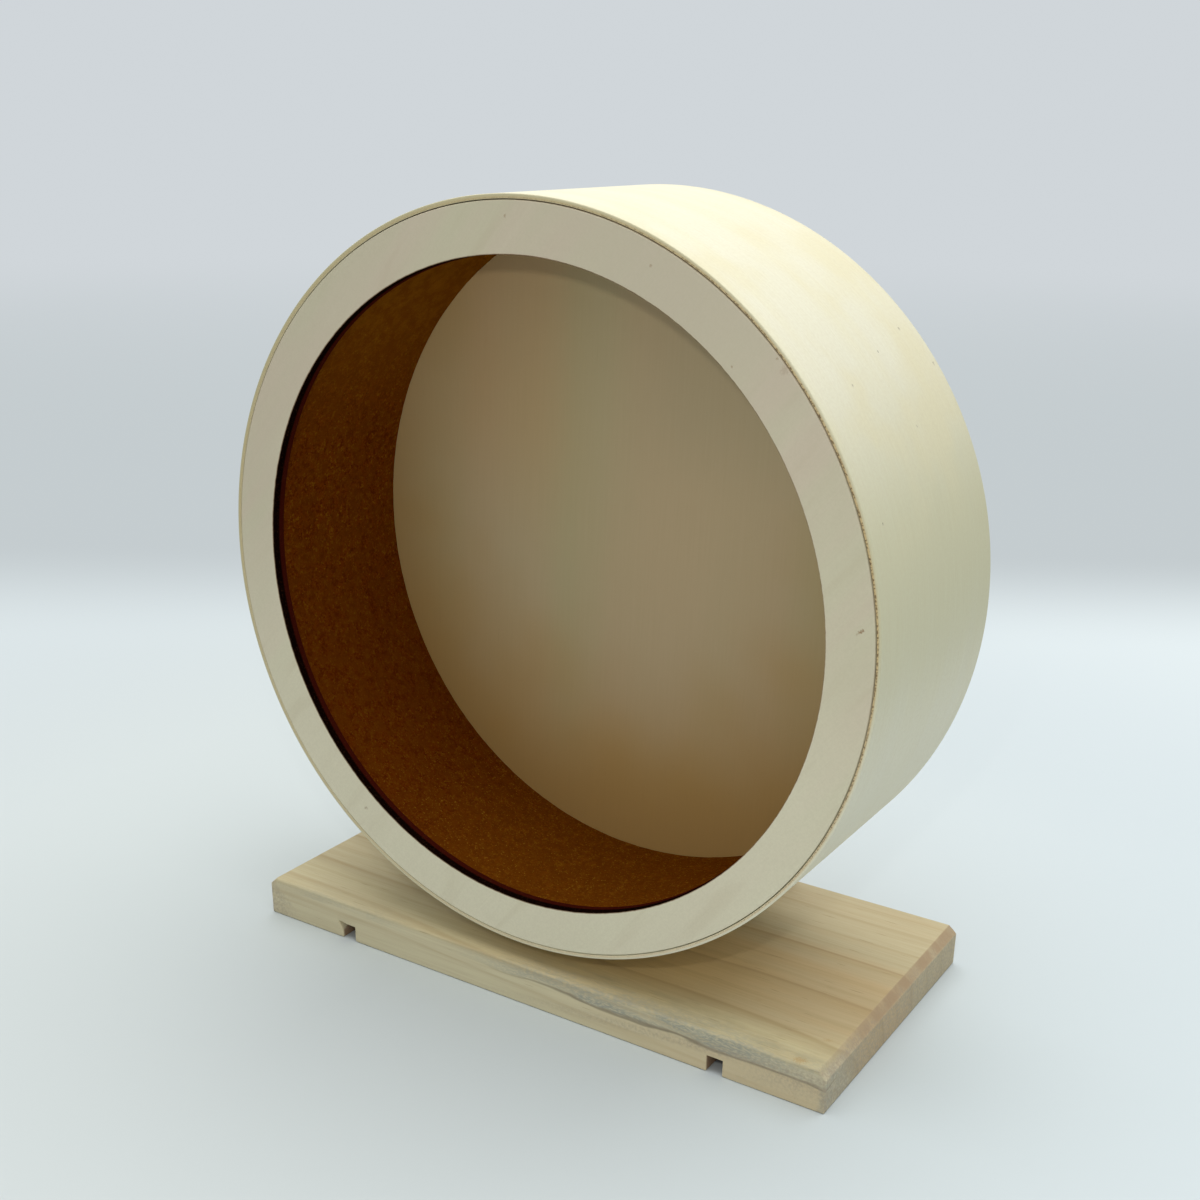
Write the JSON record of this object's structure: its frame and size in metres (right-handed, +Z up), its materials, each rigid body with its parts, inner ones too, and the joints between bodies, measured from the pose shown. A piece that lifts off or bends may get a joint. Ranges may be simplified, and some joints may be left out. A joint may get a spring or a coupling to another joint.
{
  "type": "rodent exercise wheel",
  "caption": "Wooden exercise wheel: an open drum with a cork running track that turns on ball bearings in front of an upright on a flat base board.",
  "frame": {"origin": "centre of the base board's flat underside", "axes": "+Z up; +X along the base board; -Y out of the open front of the wheel, +Y to the upright"},
  "size_m": [0.29, 0.1462, 0.316],
  "materials": {
    "rim_band": "satin bent veneer",
    "front_ring": "sanded plywood with a scorched edge",
    "cork_track": "dark expanded cork, matt",
    "inner_facing": "sanded veneer",
    "rear_panel": "sanded plywood",
    "hub_disc": "sanded plywood",
    "hub_screws": "zinc plated",
    "front_outer_race": "ground bearing steel",
    "rear_outer_race": "ground bearing steel",
    "front_shields": "pressed sheet",
    "rear_shields": "pressed sheet",
    "base_board": "planed pine",
    "upright": "sanded plywood",
    "base_screws": "zinc plated",
    "axle_bolt": "zinc plated",
    "race_washer": "zinc plated",
    "front_inner_race": "ground bearing steel",
    "race_tube": "turned",
    "rear_inner_race": "ground bearing steel",
    "hub_spacer": "turned",
    "tail_washer": "zinc plated",
    "lock_nut": "zinc plated",
    "lock_insert": "nylon",
    "front_balls": "polished",
    "front_cage": "pressed",
    "rear_balls": "polished",
    "rear_cage": "pressed"
  },
  "bodies": {
    "stand": {"base_board": "base_board", "upright": "upright", "base_screws": "base_screws", "axle_bolt": "axle_bolt", "race_washer": "race_washer", "front_inner_race": "front_inner_race", "race_tube": "race_tube", "rear_inner_race": "rear_inner_race", "hub_spacer": "hub_spacer", "tail_washer": "tail_washer", "lock_nut": "lock_nut", "lock_insert": "lock_insert"},
    "wheel": {"rim_band": "rim_band", "front_ring": "front_ring", "cork_track": "cork_track", "inner_facing": "inner_facing", "rear_panel": "rear_panel", "hub_disc": "hub_disc", "hub_screws": "hub_screws", "front_outer_race": "front_outer_race", "rear_outer_race": "rear_outer_race", "front_shields": "front_shields", "rear_shields": "rear_shields"},
    "front_ball_set": {"front_balls": "front_balls", "front_cage": "front_cage"},
    "rear_ball_set": {"rear_balls": "rear_balls", "rear_cage": "rear_cage"}
  },
  "joints": [
    {"name": "wheel_spin", "type": "hinge", "parent": "stand", "child": "wheel", "pos_m": [0, 0, 0.171], "axis": [0, 1, 0], "continuous": true},
    {"name": "front_ball_orbit", "type": "hinge", "parent": "stand", "child": "front_ball_set", "pos_m": [0, 0, 0.171], "axis": [0, 1, 0], "continuous": true},
    {"name": "rear_ball_orbit", "type": "hinge", "parent": "stand", "child": "rear_ball_set", "pos_m": [0, 0, 0.171], "axis": [0, 1, 0], "continuous": true}
  ],
  "couplings": [
    {"joint": "front_ball_orbit", "follows": "wheel_spin", "ratio": 0.6323},
    {"joint": "rear_ball_orbit", "follows": "wheel_spin", "ratio": 0.6323}
  ]
}
